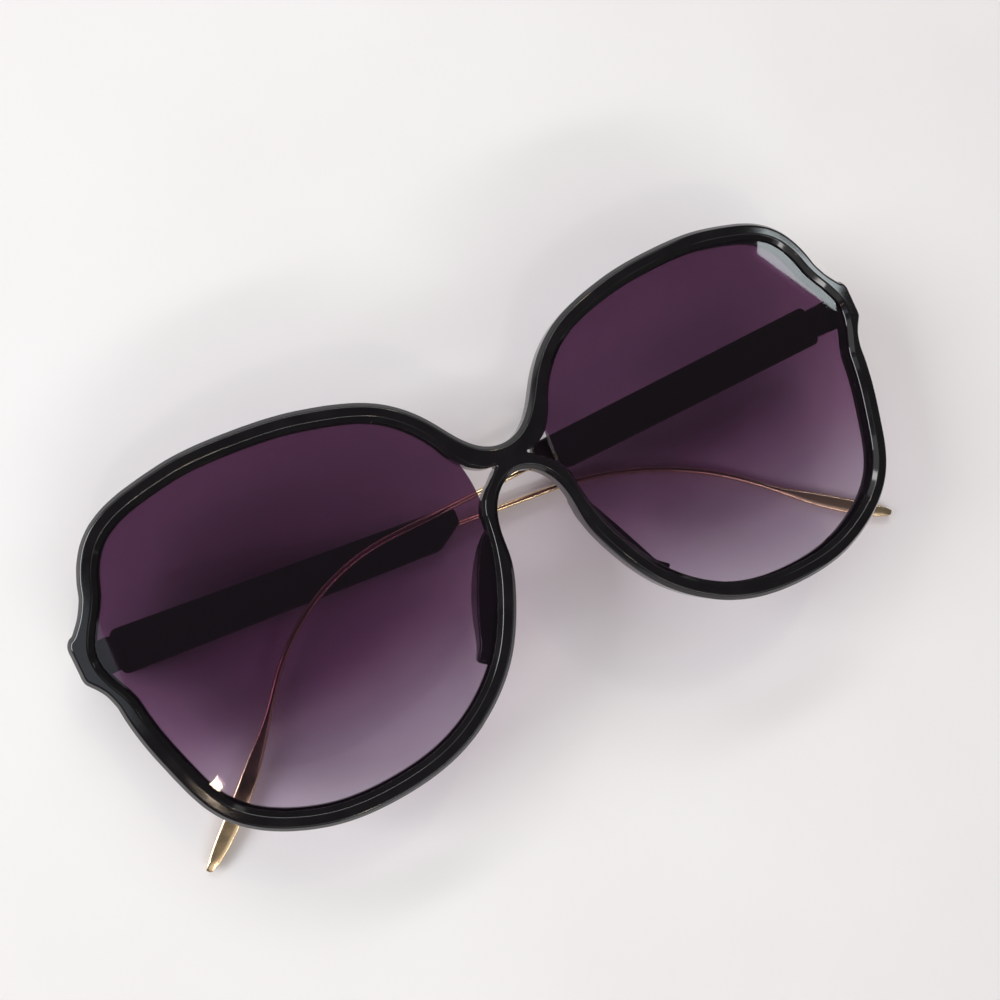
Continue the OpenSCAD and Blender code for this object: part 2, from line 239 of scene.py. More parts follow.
def toneBetween(tree, value, x, y, fromLow, fromHigh, first, second):
    # turns from the first colour to the second as the value rises
    tone = addNode(tree, "ShaderNodeMix", x, y, data_type="RGBA")
    tone.inputs["A"].default_value = (*first, 1)
    tone.inputs["B"].default_value = (*second, 1)
    tree.links.new(rangeOf(tree, value, x - 200, y, fromLow, fromHigh, 0, 1), tone.inputs["Factor"])
    return tone.outputs["Result"]


def bumpFrom(tree, height, x, y, strength, distance, normal=None):
    bump = addNode(tree, "ShaderNodeBump", x, y)
    bump.inputs["Strength"].default_value = strength
    bump.inputs["Distance"].default_value = distance
    tree.links.new(height, bump.inputs["Height"])
    if normal:
        tree.links.new(normal, bump.inputs["Normal"])
    return bump.outputs["Normal"]


def addShader(tree, x, y, links):
    shader = addNode(tree, "ShaderNodeBsdfPrincipled", x, y)
    for name, value in links.items():
        tree.links.new(value, shader.inputs[name])
    return shader


def putOut(tree, shader, x, y):
    output = addNode(tree, "ShaderNodeOutputMaterial", x, y)
    tree.links.new(shader, output.inputs["Surface"])


plasticLook = {
    "cloudScale": 260,
    "toneSpan": (0.35, 0.7),
    "waveScale": 90,
    "waveStrength": 0.25,
    "waveHeight": 0.00012,
    "grainScale": 2400,
    "grainStrength": 0.12,
    "grainHeight": 0.00001,
    "refraction": 1.5,
}


def glossyBlack(name, deep, pale, roughLow, roughHigh):
    # tumbled and polished black plastic, slightly uneven as it came from the mould
    look = plasticLook
    material, tree = newMaterial(name)
    coords = objectCoords(tree, -1100, 0)
    cloud = noiseAt(tree, coords, -850, 200, look["cloudScale"], 2)
    wave = noiseAt(tree, coords, -850, -60, look["waveScale"], 1)
    grain = noiseAt(tree, coords, -850, -320, look["grainScale"], 2)
    tone = toneBetween(tree, cloud, -450, 260, *look["toneSpan"], deep, pale)
    shine = rangeOf(tree, cloud, -650, 20, *noiseSpan, roughLow, roughHigh)
    swell = bumpFrom(tree, wave, -450, -100, look["waveStrength"], look["waveHeight"])
    normal = bumpFrom(tree, grain, -250, -200, look["grainStrength"], look["grainHeight"], swell)
    shader = addShader(tree, 0, 0, {"Base Color": tone, "Roughness": shine, "Normal": normal})
    shader.inputs["IOR"].default_value = look["refraction"]
    putOut(tree, shader.outputs["BSDF"], 300, 0)
    return material


metalLook = {
    "patchScale": 420,
    "toneSpan": (0.45, 0.75),
    "hairlineScale": 5200,
    "hairlineStrength": 0.18,
    "hairlineHeight": 0.00001,
}


def platedMetal(name, base, worn, roughLow, roughHigh, grainStretch):
    # plated and buffed metal with fine drawn scratches and slightly dulled patches
    look = metalLook
    material, tree = newMaterial(name)
    coords = objectCoords(tree, -1300, 0)
    stretch = addNode(tree, "ShaderNodeMapping", -1100, -300)
    stretch.inputs["Scale"].default_value = grainStretch
    tree.links.new(coords, stretch.inputs["Vector"])
    patch = noiseAt(tree, coords, -850, 200, look["patchScale"], 3)
    hairline = noiseAt(tree, stretch.outputs["Vector"], -850, -300, look["hairlineScale"], 2, 0.6)
    tone = toneBetween(tree, patch, -450, 260, *look["toneSpan"], base, worn)
    shine = rangeOf(tree, patch, -650, 20, *noiseSpan, roughLow, roughHigh)
    normal = bumpFrom(tree, hairline, -250, -200, look["hairlineStrength"], look["hairlineHeight"])
    shader = addShader(tree, 0, 0, {"Base Color": tone, "Roughness": shine, "Normal": normal})
    shader.inputs["Metallic"].default_value = 1
    putOut(tree, shader.outputs["BSDF"], 300, 0)
    return material


# the gradient runs down the lenses: height on the model's Y, colour let through, and the skin's share
tint = {
    "top": 0.0305,
    "bottom": -0.0271,
    "stops": [
        (0.00, (0.90, 0.85, 0.92), 0.16),
        (0.16, (0.82, 0.74, 0.84), 0.20),
        (0.36, (0.69, 0.51, 0.67), 0.27),
        (0.60, (0.57, 0.37, 0.54), 0.33),
        (1.00, (0.46, 0.27, 0.42), 0.40),
    ],
    "driftScale": 45,
    "drift": 0.02,
    "body": (0.010, 0.006, 0.010),
    "refraction": 1.6,
    "specular": 0.9,
    "dustScale": 3000,
    "dustSpan": (0.4, 0.8),
    "roughness": (0.02, 0.04),
    "rippleScale": 60,
    "rippleStrength": 0.1,
    "rippleHeight": 0.00005,
}


def tintedLens(name):
    # dyed lens: clear with a purple gradient, and a polished skin that reflects
    material, tree = newMaterial(name)
    coords = objectCoords(tree, -1300, 0)
    apart = addNode(tree, "ShaderNodeSeparateXYZ", -1100, 200)
    tree.links.new(coords, apart.inputs["Vector"])
    streak = noiseAt(tree, coords, -1100, -100, tint["driftScale"], 2)
    drift = rangeOf(tree, streak, -900, -100, *noiseSpan, -tint["drift"], tint["drift"])
    height = rangeOf(tree, apart.outputs["Y"], -900, 200, tint["bottom"], tint["top"], 0, 1)
    level = addNode(tree, "ShaderNodeMath", -700, 100, operation="ADD")
    tree.links.new(height, level.inputs[0])
    tree.links.new(drift, level.inputs[1])
    dye = addNode(tree, "ShaderNodeValToRGB", -500, 250)
    cover = addNode(tree, "ShaderNodeValToRGB", -500, -50)
    for ramp in (dye, cover):
        tree.links.new(level.outputs[0], ramp.inputs["Fac"])
        while len(ramp.color_ramp.elements) < len(tint["stops"]):
            ramp.color_ramp.elements.new(0.5)
    for index, (position, colour, share) in enumerate(tint["stops"]):
        dye.color_ramp.elements[index].position = position
        dye.color_ramp.elements[index].color = (*colour, 1)
        cover.color_ramp.elements[index].position = position
        cover.color_ramp.elements[index].color = (share, share, share, 1)
    clear = addNode(tree, "ShaderNodeBsdfTransparent", -150, 200)
    tree.links.new(dye.outputs["Color"], clear.inputs["Color"])
    dust = noiseAt(tree, coords, -500, -600, tint["dustScale"], 2)
    shine = rangeOf(tree, dust, -320, -600, *tint["dustSpan"], *tint["roughness"])
    ripple = noiseAt(tree, coords, -500, -350, tint["rippleScale"], 1)
    normal = bumpFrom(tree, ripple, -320, -350, tint["rippleStrength"], tint["rippleHeight"])
    skin = addShader(tree, -150, -50, {"Roughness": shine, "Normal": normal})
    skin.inputs["Base Color"].default_value = (*tint["body"], 1)
    skin.inputs["IOR"].default_value = tint["refraction"]
    skin.inputs["Specular IOR Level"].default_value = tint["specular"]
    blend = addNode(tree, "ShaderNodeMixShader", 150, 100)
    tree.links.new(cover.outputs["Color"], blend.inputs["Fac"])
    tree.links.new(clear.outputs["BSDF"], blend.inputs[1])
    tree.links.new(skin.outputs["BSDF"], blend.inputs[2])
    putOut(tree, blend.outputs["Shader"], 350, 100)
    return material


frameBlack = glossyBlack("frameBlack", (0.004, 0.003, 0.004), (0.007, 0.006, 0.007), 0.05, 0.10)
bandBlack = glossyBlack("bandBlack", (0.009, 0.008, 0.009), (0.016, 0.013, 0.015), 0.08, 0.15)
padBlack = glossyBlack("padBlack", (0.009, 0.008, 0.009), (0.015, 0.013, 0.015), 0.12, 0.2)
paleGold = platedMetal("paleGold", (0.86, 0.66, 0.42), (0.74, 0.53, 0.33), 0.12, 0.24, (0.2, 1, 1))
hingeSteel = platedMetal("hingeSteel", (0.66, 0.65, 0.64), (0.5, 0.49, 0.48), 0.18, 0.34, (1, 0.3, 1))
screwSteel = platedMetal("screwSteel", (0.6, 0.59, 0.58), (0.45, 0.44, 0.43), 0.2, 0.36, (1, 0.3, 1))
lensTint = tintedLens("lensTint")
print("materials ready")


# Front moulding

frontMake = {
    "joined": 0.0002,  # points of the outline this close become one
    "cornerTurn": 20,  # degrees from which a corner is sharp
    # sides near a sharp corner are halved until they are short, and then all long sides are cut evenly
    "cornerZone": 0.0045,
    "shortSide": 0.0013,
    "halvings": 4,
    "longSide": 0.005,
    "longSideCuts": 12,
    # corners to round, by their distance from the middle: how far round each, and how often smoothed
    "corners": [
        {"from": 0.0045, "to": 0.0095, "reach": 0.0022, "times": 14},
        {"from": 0.0660, "to": 0.0708, "reach": 0.0028, "times": 16},
        {"from": 0.0708, "to": 0.0740, "reach": 0.0009, "times": 1},
    ],
    "bridge": {"half": 0.022, "times": 8},
    "smoothing": 0.5,
    "curveSteps": 4,
    # the openings reach further out beside the endpieces
    "bulge": {"out": 0.0025, "middle": -0.0004, "half": 0.0092, "from": 0.058, "full": 0.067},
    # width into the plastic and depth of each ring, from back to front; openings are cut from beyond both
    "outerRings": [
        (0.0004, 0.004), (0.0002, 0.00395), (0.00005, 0.0038), (0, 0.0036),
        (0, 0.00105), (0.00002, 0.00092), (0.0001, 0.0008), (0.00016, 0.00073),
        (0.0006, 0.00016), (0.00067, 0.00008), (0.00077, 0.00002), (0.0009, 0),
    ],
    "openingRings": [
        (0.0004, 0.0045), (0.0004, 0.004), (0.0002, 0.00395), (0.00005, 0.0038), (0, 0.0036),
        (0, 0.00285), ("groove", 0.00285), ("groove", 0.00095), (0, 0.00095),
        (0, 0.00084), (0.00003, 0.00077), (0.0001, 0.00069), (0.00014, 0.00065),
        (0.0007, 0.00013), (0.00074, 0.00009), (0.00082, 0.00003), (0.00092, 0), (0.00092, -0.0005),
    ],
    "groove": 0.00075,
    "gapReach": 0.0090,
    # the chamfer on the lens side is narrower round the gaps beside the bridge
    "gapChamfer": {"from": 0.004, "to": 0.0105, "share": 0.3},
    "chamferFrom": 0.0008,
    # a ring's point is sound if no near point of the border is closer than this share of the ring's width
    "clearShare": 0.985,
    "clearPoints": 25,
    "curveJoined": 0.00002,
    "ringsJoined": 0.000001,
    "flat": 0.000001,
    "holdingRing": 0.00015,
    "slice": 0.002,
    "block": {"low": (0.0673, -0.0038, -0.0146474), "high": (0.0726, 0.0018, -0.0100)},
    "blockRound": 0.0004,
    "blockRoundReach": 0.002,
    "hollow": {"radius": 0.00115, "length": 0.01, "sides": 48},
}


def depthOf(point):
    return front["wrap"] - math.hypot(point.x, point.z + front["wrap"])


def wrapRound(verts, setBack=0):
    # bends flat points onto the front's cylinder
    for vert in verts:
        radius = front["wrap"] - setBack + vert.co.z
        vert.co.z = math.sqrt(radius ** 2 - vert.co.x ** 2) - front["wrap"]


def keepOuterFace(piece, setBack):
    # deletes everything but the face that looks forwards at that depth
    bpy.ops.object.mode_set(mode="EDIT")
    bpy.ops.mesh.select_mode(type="FACE")
    mesh = bmesh.from_edit_mesh(piece.data)
    for face in mesh.faces:
        outermost = all(depthOf(vert.co) < setBack + closeness["level"] for vert in face.verts)
        face.select_set(not (face.normal.z > closeness["forwards"] and outermost))
    bmesh.update_edit_mesh(piece.data)
    bpy.ops.mesh.delete(type="FACE")


def layFlat(piece):
    mesh = bmesh.from_edit_mesh(piece.data)
    for vert in mesh.verts:
        vert.co.z = 0
    bmesh.update_edit_mesh(piece.data)


def turnAt(vert):
    # how far a flat border turns at a point, in degrees
    ahead, behind = [edge.other_vert(vert).co - vert.co for edge in vert.link_edges]
    return math.degrees(ahead.angle(-behind))


def dropStraightPoints(piece):
    bpy.ops.mesh.select_mode(type="VERT")
    bpy.ops.mesh.select_all(action="DESELECT")
    mesh = bmesh.from_edit_mesh(piece.data)
    for vert in mesh.verts:
        vert.select_set(turnAt(vert) < closeness["straight"])
    bmesh.update_edit_mesh(piece.data)
    bpy.ops.mesh.dissolve_verts()


def bulgeOut(verts):
    # moves the side of an opening beside the endpiece outwards
    bulge = frontMake["bulge"]
    for vert in verts:
        off = abs(vert.co.y - bulge["middle"]) / bulge["half"]
        share = min(1, (abs(vert.co.x) - bulge["from"]) / (bulge["full"] - bulge["from"]))
        if share > 0 and off < 1:
            vert.co.x += math.copysign(share * bulge["out"] * (1 - off ** 2) ** 2, vert.co.x)


def pickOuter(piece):
    # selects the outer border
    bpy.ops.mesh.select_mode(type="VERT")
    bpy.ops.mesh.select_all(action="DESELECT")
    mesh = bmesh.from_edit_mesh(piece.data)
    max(mesh.verts, key=lambda vert: vert.co.x).select_set(True)
    bmesh.update_edit_mesh(piece.data)
    bpy.ops.mesh.select_linked()


def addPoints(piece, sharp):
    # halves the long sides near sharp corners, and those of the selected border at the bridge
    mesh = bmesh.from_edit_mesh(piece.data)
    chosen = []
    for edge in mesh.edges:
        middle = (edge.verts[0].co + edge.verts[1].co) / 2
        atBridge = edge.select and abs(middle.x) < frontMake["bridge"]["half"]
        nearCorner = any((middle - spot).length < frontMake["cornerZone"] for spot in sharp)
        if edge.calc_length() > frontMake["shortSide"] and (atBridge or nearCorner):
            chosen.append(edge)
    bpy.ops.mesh.select_mode(type="EDGE")
    bpy.ops.mesh.select_all(action="DESELECT")
    for edge in chosen:
        edge.select_set(True)
    bmesh.update_edit_mesh(piece.data)
    if chosen:
        bpy.ops.mesh.subdivide(number_cuts=1)


def roundCorners(piece, sharp):
    # smooths the outer border at the bridge, and all borders near their sharp corners
    pickOuter(piece)
    mesh = bmesh.from_edit_mesh(piece.data)
    for vert in mesh.verts:
        if abs(vert.co.x) > frontMake["bridge"]["half"]:
            vert.select_set(False)
    bmesh.update_edit_mesh(piece.data)
    bpy.ops.mesh.vertices_smooth(factor=frontMake["smoothing"], repeat=frontMake["bridge"]["times"])
    for corner in frontMake["corners"]:
        spots = [spot for spot in sharp if corner["from"] < abs(spot.x) < corner["to"]]
        bpy.ops.mesh.select_all(action="DESELECT")
        mesh = bmesh.from_edit_mesh(piece.data)
        for vert in mesh.verts:
            vert.select_set(any((vert.co - spot).length < corner["reach"] for spot in spots))
        bmesh.update_edit_mesh(piece.data)
        bpy.ops.mesh.vertices_smooth(factor=frontMake["smoothing"], repeat=corner["times"])


def flatOutline(piece):
    # leaves only the borders of the front face, laid flat, with their corners rounded
    keepOuterFace(piece, 0)
    bpy.ops.mesh.select_mode(type="EDGE")
    mesh = bmesh.from_edit_mesh(piece.data)
    for edge in mesh.edges:
        edge.select_set(len(edge.link_faces) == 2)
    bmesh.update_edit_mesh(piece.data)
    bpy.ops.mesh.delete(type="EDGE")
    bpy.ops.mesh.select_all(action="SELECT")
    bpy.ops.mesh.delete(type="ONLY_FACE")
    bpy.ops.mesh.select_all(action="SELECT")
    bpy.ops.mesh.remove_doubles(threshold=frontMake["joined"])
    layFlat(piece)
    dropStraightPoints(piece)
    mesh = bmesh.from_edit_mesh(piece.data)
    sharp = [vert.co.copy() for vert in mesh.verts if turnAt(vert) > frontMake["cornerTurn"]]
    for halving in range(frontMake["halvings"]):
        pickOuter(piece)
        addPoints(piece, sharp)
    bpy.ops.mesh.select_mode(type="EDGE")
    bpy.ops.mesh.select_all(action="DESELECT")
    mesh = bmesh.from_edit_mesh(piece.data)
    for edge in mesh.edges:
        edge.select_set(edge.calc_length() > frontMake["longSide"])
    bmesh.update_edit_mesh(piece.data)
    bpy.ops.mesh.subdivide(number_cuts=frontMake["longSideCuts"])
    roundCorners(piece, sharp)
    bpy.ops.object.mode_set(mode="OBJECT")


def smoothOutline(piece):
    # runs a smooth curve through the borders' points
    pick(piece)
    bpy.ops.object.convert(target="CURVE")
    outline = bpy.context.object
    outline.data.dimensions = "2D"
    outline.data.fill_mode = "NONE"
    outline.data.resolution_u = frontMake["curveSteps"]
    for spline in outline.data.splines:
        spline.type = "BEZIER"
        for point in spline.bezier_points:
            point.handle_left_type = point.handle_right_type = "AUTO"
    bpy.ops.object.convert(target="MESH")
    return bpy.context.object


def inOrder(mesh):
    # the points of a border one after the other
    vert = next(iter(mesh.verts))
    left = set(mesh.verts) - {vert}
    loop = [vert]
    while left:
        vert = next(edge.other_vert(vert) for edge in vert.link_edges if edge.other_vert(vert) in left)
        left.remove(vert)
        loop.append(vert)
    return loop


def ringSpots(spots, outer, width):
    # the border moved into the plastic; where it would cross itself it is pulled straight
    if not width:
        return [spot.copy() for spot in spots]
    count = len(spots)
    area = sum(spots[i - 1].x * spots[i].y - spots[i].x * spots[i - 1].y for i in range(count))
    sense = (1 if area > 0 else -1) * (1 if outer else -1)
    steps = frontMake["clearPoints"]
    moved = []
    sound = []
    for i, spot in enumerate(spots):
        along = (spots[(i + 1) % count] - spots[i - 1]).normalized()
        moved.append(spot + sense * width * Vector((-along.y, along.x, 0)))
        near = [spots[(i + step) % count] for step in range(-steps, steps + 1)]
        closest = min((moved[i] - other).length for other in near)
        sound.append(closest > frontMake["clearShare"] * width)
    for i in range(count):
        if not sound[i]:
            before = next(step for step in range(1, count) if sound[i - step])
            after = next(step for step in range(1, count) if sound[(i + step) % count])
            moved[i] = moved[i - before].lerp(moved[(i + after) % count], before / (before + after))
    return moved


def chamferShare(spot):
    gap = frontMake["gapChamfer"]
    way = (abs(spot.x) - gap["from"]) / (gap["to"] - gap["from"])
    return gap["share"] + (1 - gap["share"]) * max(0, min(1, way))


def sweepBorder(piece, outer):
    # sweeps a border through its rings into a closed solid
    pick(piece)
    bpy.ops.object.mode_set(mode="EDIT")
    bpy.ops.mesh.select_mode(type="VERT")
    bpy.ops.mesh.select_all(action="SELECT")
    bpy.ops.mesh.remove_doubles(threshold=frontMake["curveJoined"])
    mesh = bmesh.from_edit_mesh(piece.data)
    number = mesh.verts.layers.int.new("number")
    loop = inOrder(mesh)
    for index, vert in enumerate(loop):
        vert[number] = index
    spots = [vert.co.copy() for vert in loop]
    bmesh.update_edit_mesh(piece.data)
    bpy.ops.mesh.select_mode(type="EDGE")
    bpy.ops.mesh.select_all(action="SELECT")
    bpy.ops.mesh.edge_face_add()
    for step, (width, depth) in enumerate(frontMake["outerRings" if outer else "openingRings"]):
        if step:
            bpy.ops.mesh.extrude_region()
        groove = width == "groove"
        moved = ringSpots(spots, outer, frontMake["groove"] if groove else width)
        mesh = bmesh.from_edit_mesh(piece.data)
        number = mesh.verts.layers.int["number"]
        for vert in mesh.verts:
            if vert.select:
                index = vert[number]
                bare = groove and abs(spots[index].x) < frontMake["gapReach"]
                share = 1 if outer or depth > frontMake["chamferFrom"] else chamferShare(spots[index])
                vert.co = spots[index] if bare else spots[index].lerp(moved[index], share)
                vert.co.z = -depth * (share if depth > 0 else 1)
        bmesh.update_edit_mesh(piece.data)
    bpy.ops.mesh.select_all(action="SELECT")
    bpy.ops.mesh.remove_doubles(threshold=frontMake["ringsJoined"])
    bpy.ops.mesh.normals_make_consistent(inside=False)
    bpy.ops.object.mode_set(mode="OBJECT")


def combine(piece, other, operation):
    # cuts the other solid from the piece, or adds it
    pick(piece)
    step = piece.modifiers.new("step", "BOOLEAN")
    step.operation = operation
    step.solver = "EXACT"
    step.object = other
    bpy.ops.object.modifier_apply(modifier="step")
    bpy.data.objects.remove(other)


def addBlock(piece, sign):
    # the block behind an endpiece, with the round hollow for the hinge's barrels
    low = Vector(frontMake["block"]["low"])
    high = Vector(frontMake["block"]["high"])
    middle = (low + high) / 2
    bpy.ops.mesh.primitive_cube_add(size=1, location=(sign * middle.x, middle.y, middle.z),
                                    scale=high - low)
    block = bpy.context.object
    applyPlace(block)
    hollow = frontMake["hollow"]
    bpy.ops.mesh.primitive_cylinder_add(
        vertices=hollow["sides"], radius=hollow["radius"], depth=hollow["length"],
        location=(sign * front["hingeX"], -front["hingeDrop"], -front["hingeBack"]),
        rotation=(math.pi / 2, 0, 0))
    drum = bpy.context.object
    combine(block, drum, "DIFFERENCE")
    bpy.ops.object.mode_set(mode="EDIT")
    reach = low.z + frontMake["blockRoundReach"]
    roundOff(block, lambda edge: min(vert.co.z for vert in edge.verts) < reach,
             frontMake["blockRound"], segments=3, sharperThan=50)
    bpy.ops.object.mode_set(mode="OBJECT")
    combine(piece, block, "UNION")


def pickFlats(piece):
    # selects the flat front and back faces
    bpy.ops.mesh.select_all(action="DESELECT")
    mesh = bmesh.from_edit_mesh(piece.data)
    for face in mesh.faces:
        face.select_set(all(vert.co.z > -frontMake["flat"] for vert in face.verts)
                        or all(vert.co.z < frontMake["flat"] - front["depth"] for vert in face.verts))
    bmesh.update_edit_mesh(piece.data)


def makeFront():
    piece = carryOver("front_frame", "frontFrame", layFront)
    flatOutline(piece)
    piece = smoothOutline(piece)
    bpy.ops.object.mode_set(mode="EDIT")
    bpy.ops.mesh.select_all(action="SELECT")
    bpy.ops.mesh.separate(type="LOOSE")
    bpy.ops.object.mode_set(mode="OBJECT")
    borders = sorted(bpy.context.selected_objects, key=lambda border: border.dimensions.x)
    piece = borders.pop()  # the outer border is the widest
    sweepBorder(piece, True)
    for border in borders:
        bulgeOut(border.data.vertices)
        sweepBorder(border, False)
        combine(piece, border, "DIFFERENCE")
    bpy.ops.object.mode_set(mode="EDIT")
    bpy.ops.mesh.select_mode(type="FACE")
    pickFlats(piece)
    bpy.ops.mesh.quads_convert_to_tris(quad_method="BEAUTY", ngon_method="BEAUTY")
    bpy.ops.mesh.inset(thickness=frontMake["holdingRing"], depth=0, use_boundary=True,
                       use_even_offset=False)
    steps = int(front["halfWidth"] / frontMake["slice"])
    for step in range(-steps, steps + 1):  # slices let the flat faces bend
        pickFlats(piece)
        bpy.ops.mesh.bisect(plane_co=(step * frontMake["slice"], 0, 0), plane_no=(1, 0, 0))
    bpy.ops.mesh.select_all(action="DESELECT")
    bpy.ops.object.mode_set(mode="OBJECT")
    for vert in piece.data.vertices:
        vert.co.x = max(-front["halfWidth"], min(front["halfWidth"], vert.co.x))
    wrapRound(piece.data.vertices)
    for sign in signs.values():
        addBlock(piece, sign)
    piece.name = "frontFrame"
    smoothPiece(piece)
    putInPlace(piece, layFront)
    finishPiece(piece, "front", "front_frame", frameBlack)


makeFront()


# Lenses

lensMake = {
    "setBack": 0.001,
    "thickness": 0.0018,
    "rings": [0.97, 0.95, 0.9, 0.85, 0.8, 0.7, 0.6, 0.4],
    "edgeRound": 0.00012,
}


def rimCentreOf(side):
    centre = front["rimCentre"].copy()
    centre.x *= signs[side]
    return centre


def makeLens(side):
    piece = carryOver(side + "_lens", side + "Lens", layFront)
    keepOuterFace(piece, lensMake["setBack"])
    layFlat(piece)
    bpy.ops.mesh.select_all(action="SELECT")
    bpy.ops.mesh.dissolve_faces()
    dropStraightPoints(piece)
    bpy.ops.mesh.select_all(action="SELECT")
    bpy.ops.mesh.delete(type="ONLY_FACE")
    bpy.ops.mesh.select_all(action="SELECT")
    for share in lensMake["rings"]:  # rings drawn in from the outline to the middle
        bpy.ops.mesh.extrude_region()
        bpy.ops.transform.resize(value=(share, share, 1), center_override=rimCentreOf(side))
    bpy.ops.mesh.edge_face_add()
    bpy.ops.mesh.poke()
    bpy.ops.mesh.select_all(action="SELECT")
    bpy.ops.mesh.normals_make_consistent(inside=False)
    refinePiece(piece)
    bulgeOut(piece.data.vertices)
    wrapRound(piece.data.vertices, lensMake["setBack"])
    wall = piece.modifiers.new("wall", "SOLIDIFY")
    wall.thickness = lensMake["thickness"]
    wall.offset = -1 if piece.data.polygons[0].normal.z > 0 else 1
    wall.use_even_offset = True
    bpy.ops.object.modifier_apply(modifier="wall")
    bpy.ops.object.mode_set(mode="EDIT")
    bpy.ops.mesh.select_all(action="SELECT")
    bpy.ops.mesh.normals_make_consistent(inside=False)
    roundOff(piece, lambda edge: True, lensMake["edgeRound"], segments=2, sharperThan=60)
    bpy.ops.object.mode_set(mode="OBJECT")
    smoothPiece(piece)
    putInPlace(piece, layFront)
    finishPiece(piece, "front", side + "_lens", lensTint)


for side in signs:
    makeLens(side)


# Nose pads

padMake = {
    # the pad's arch is what lies within the band of its furthest reach from the rim's centre
    "archBand": 0.0007,
    "sameTurn": 0.04,
    "offArch": 0.0006,
    "middle": -0.0184,
    "half": 0.0104,
    # share of the CAD pad's width that is kept
    "endWidth": 0.06,
    "middleWidth": {"left": 1.12, "right": 0.8},
    "intoRim": 0.0007,
    "voxel": 0.00026,
    "smoothing": 0.5,
    "smoothings": 14,
}


def makePad(side):
    # a crescent on the rim's back: narrowed towards its ends, then rounded all over
    piece = carryOver(side + "_nose_pad", side + "NosePad", layFront)
    centre = rimCentreOf(side)
    spots = [vert.co.copy() for vert in piece.data.vertices]

    def reach(spot):
        return math.hypot(spot.x - centre.x, spot.y - centre.y)

    def turn(spot):
        return math.atan2(spot.y - centre.y, abs(spot.x - centre.x))

    arch = []
    for spot in spots:
        near = [other for other in spots if abs(turn(other) - turn(spot)) < padMake["sameTurn"]]
        if reach(spot) > max(reach(other) for other in near) - padMake["archBand"]:
            arch.append(spot)
    extraWidth = padMake["middleWidth"][side] - padMake["endWidth"]
    for vert, spot in zip(piece.data.vertices, spots):
        partner = min(arch, key=lambda other: abs(turn(other) - turn(spot)))
        along = min(1, abs((spot.y - padMake["middle"]) / padMake["half"]))
        keep = padMake["endWidth"] + extraWidth * math.sqrt(1 - along ** 2)
        inwards = (centre - partner).to_2d().normalized() * padMake["offArch"]
        vert.co.x = partner.x + inwards.x + (spot.x - partner.x) * keep
        vert.co.y = partner.y + inwards.y + (spot.y - partner.y) * keep
        if depthOf(spot) < front["depth"] + closeness["level"]:
            vert.co.z += padMake["intoRim"]
    pick(piece)
    grid = piece.modifiers.new("grid", "REMESH")
    grid.mode = "VOXEL"
    grid.voxel_size = padMake["voxel"]
    bpy.ops.object.modifier_apply(modifier="grid")
    relax = piece.modifiers.new("relax", "SMOOTH")
    relax.factor = padMake["smoothing"]
    relax.iterations = padMake["smoothings"]
    bpy.ops.object.modifier_apply(modifier="relax")
    bpy.ops.object.shade_smooth()
    putInPlace(piece, layFront)
    finishPiece(piece, "front", side + "_nose_pad", padBlack)


for side in signs:
    makePad(side)


# Hinges and their screws

hingeMake = {"leafRound": 0.00006, "screwRound": 0.00005, "leastLength": 3}


def makeSteel(node, name, body, width, material):
    # rounds the edges that are long enough beside the round's width
    piece = carryOver(node, name, Matrix.Identity(4))
    bpy.ops.object.mode_set(mode="EDIT")
    roundOff(piece, lambda edge: edge.calc_length() > hingeMake["leastLength"] * width, width,
             segments=2, sharperThan=50)
    bpy.ops.mesh.select_all(action="SELECT")
    bpy.ops.mesh.remove_doubles(threshold=closeness["weld"])
    bpy.ops.mesh.select_all(action="DESELECT")
    bpy.ops.object.mode_set(mode="OBJECT")
    smoothPiece(piece, angle=30)
    finishPiece(piece, body, node, material)


for side in signs:
    makeSteel(side + "_front_hinge_leaf", side + "FrontHingeLeaf", "front",
              hingeMake["leafRound"], hingeSteel)
    makeSteel(side + "_temple_hinge_leaf", side + "TempleHingeLeaf", side + "_temple",
              hingeMake["leafRound"], hingeSteel)
    makeSteel(side + "_hinge_screw", side + "HingeScrew", "front",
              hingeMake["screwRound"], screwSteel)


# Temples: a black band from the hinge, then a gold wire that ends in a paddle

temple = {
    "fold": {"left": lie, "right": 0},
    "droop": {"left": math.radians(4.9), "right": math.radians(1.4)},
    "bandOuter": 0.003,
    "bandThickness": 0.0022,
    "bandRound": 0.0004,
    "onFace": 0.00003,
    # no rounds on the inner face where the hinge's leaf lies
    "leaf": {"half": 0.0025, "end": 0.012},
    "endRound": 0.0008,
    # the slanted end's corners: edges through the band beyond this place and longer than this
    "ends": {"from": 0.05, "length": 0.001, "through": 0.95},
    "wireQuads": 60,
}


def templeFrame(side):
    # X along the temple from its hinge, Y to the brow, Z to the lenses, so the right one is mirrored
    mirror = Matrix.Scale(-1, 4, (1, 0, 0))
    place = Matrix.Translation((front["hingeX"], -front["hingeDrop"], -front["hingeBack"]))
    place = place @ Matrix.Rotation(-temple["fold"][side], 4, "Y")
    place = place @ Matrix.Rotation(temple["droop"][side], 4, "Z") @ mirror
    return layFront @ (mirror if side == "left" else Matrix.Identity(4)) @ place


def bandEdge(edge):
    middle = (edge.verts[0].co + edge.verts[1].co) / 2
    heights = [vert.co.z + temple["bandOuter"] for vert in edge.verts]
    outer = all(abs(height) < temple["onFace"] for height in heights)
    inner = all(abs(height - temple["bandThickness"]) < temple["onFace"] for height in heights)
    offLeaf = abs(middle.y) > temple["leaf"]["half"] or middle.x > temple["leaf"]["end"]
    return outer or (inner and offLeaf)


